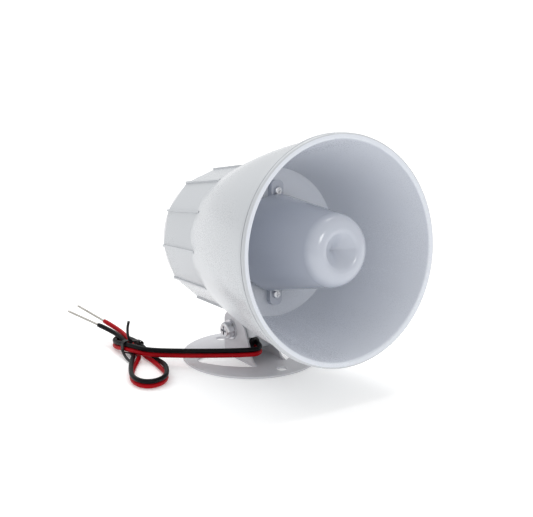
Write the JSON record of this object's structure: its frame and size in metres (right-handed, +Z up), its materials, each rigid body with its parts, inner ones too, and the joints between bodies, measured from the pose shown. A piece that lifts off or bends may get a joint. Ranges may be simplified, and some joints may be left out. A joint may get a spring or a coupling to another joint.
{
  "type": "alarm siren",
  "caption": "White horn siren with a re-entrant cup, tilting on a round two-eared bracket, with twisted leads and bare ends.",
  "frame": {"origin": "centre of the bracket base's underside", "axes": "+Z up, away from the mounting surface; the horn's mouth faces -Y; +X is the nut side of the pivot"},
  "size_m": [0.1269, 0.1677, 0.1275],
  "materials": {
    "shell_plastic": "satin",
    "cup_plastic": "satin",
    "cover_plastic": "fine texture",
    "bracket_paint": "powder coat",
    "zinc_steel": "zinc plated",
    "rubber": "matte",
    "throat_plastic": "matte",
    "plated_steel": "zinc plated",
    "ferrite": "ground",
    "copper": "enamelled wire",
    "film": "satin",
    "board": "solder mask",
    "epoxy": "matte",
    "capacitor_sleeve": "gloss",
    "choke_core": "matte",
    "heat_sink": "satin",
    "resistor_body": "gloss",
    "black_pvc": "satin",
    "red_pvc": "satin",
    "tinned_copper": "stranded wire",
    "tie_sleeve": "matte"
  },
  "bodies": {
    "base": {"bracket": "bracket_paint", "pivot_bolt": "zinc_steel", "head_washer": "zinc_steel", "spring_washer": "zinc_steel", "nut_washer": "zinc_steel", "pivot_nut": "zinc_steel", "lead_black_flex": "black_pvc", "lead_red_flex": "red_pvc", "lead_black": "black_pvc", "lead_red": "red_pvc", "strand_black": "tinned_copper", "strand_red": "tinned_copper", "twist_tie": "tie_sleeve"},
    "horn": {"board_post_1": "plated_steel", "board_post_2": "plated_steel", "board_post_3": "plated_steel", "board_screw_1": "zinc_steel", "board_screw_2": "zinc_steel", "board_screw_3": "zinc_steel", "capacitor": "capacitor_sleeve", "chip": "epoxy", "choke": "choke_core", "circuit_board": "board", "clamp_ring": "throat_plastic", "cover_gasket": "rubber", "cover_screw_1": "zinc_steel", "cover_screw_2": "zinc_steel", "cover_screw_3": "zinc_steel", "cover_screw_4": "zinc_steel", "cup_screw_1": "zinc_steel", "cup_screw_2": "zinc_steel", "cup_screw_3": "zinc_steel", "cup_screw_4": "zinc_steel", "driver_gasket": "rubber", "driver_screw_1": "zinc_steel", "driver_screw_2": "zinc_steel", "driver_screw_3": "zinc_steel", "heat_sink": "heat_sink", "horn_shell": "shell_plastic", "inner_lead_black": "black_pvc", "inner_lead_red": "red_pvc", "lead_grommet": "rubber", "magnet": "ferrite", "rear_cover": "cover_plastic", "reflector_cup": "cup_plastic", "resistor_1": "resistor_body", "resistor_2": "resistor_body", "spacer_ring": "throat_plastic", "surround": "film", "throat_tube": "throat_plastic", "top_plate": "plated_steel", "transistor_1": "epoxy", "transistor_2": "epoxy", "yoke": "plated_steel"},
    "moving_coil": {"diaphragm": "film", "voice_coil": "copper"}
  },
  "joints": [
    {"name": "tilt", "type": "hinge", "parent": "base", "child": "horn", "pos_m": [0, 0.0041, 0.0146], "axis": [-1, 0, 0], "range_deg": [-8, 50], "deforming": ["lead_black_flex", "lead_red_flex"]},
    {"name": "diaphragm_stroke", "type": "slide", "parent": "horn", "child": "moving_coil", "axis": [0, -0.9879, 0.1554], "range_m": [-0.0004, 0.0004], "stiffness_N_per_m": 200, "deforming": ["surround"]}
  ]
}
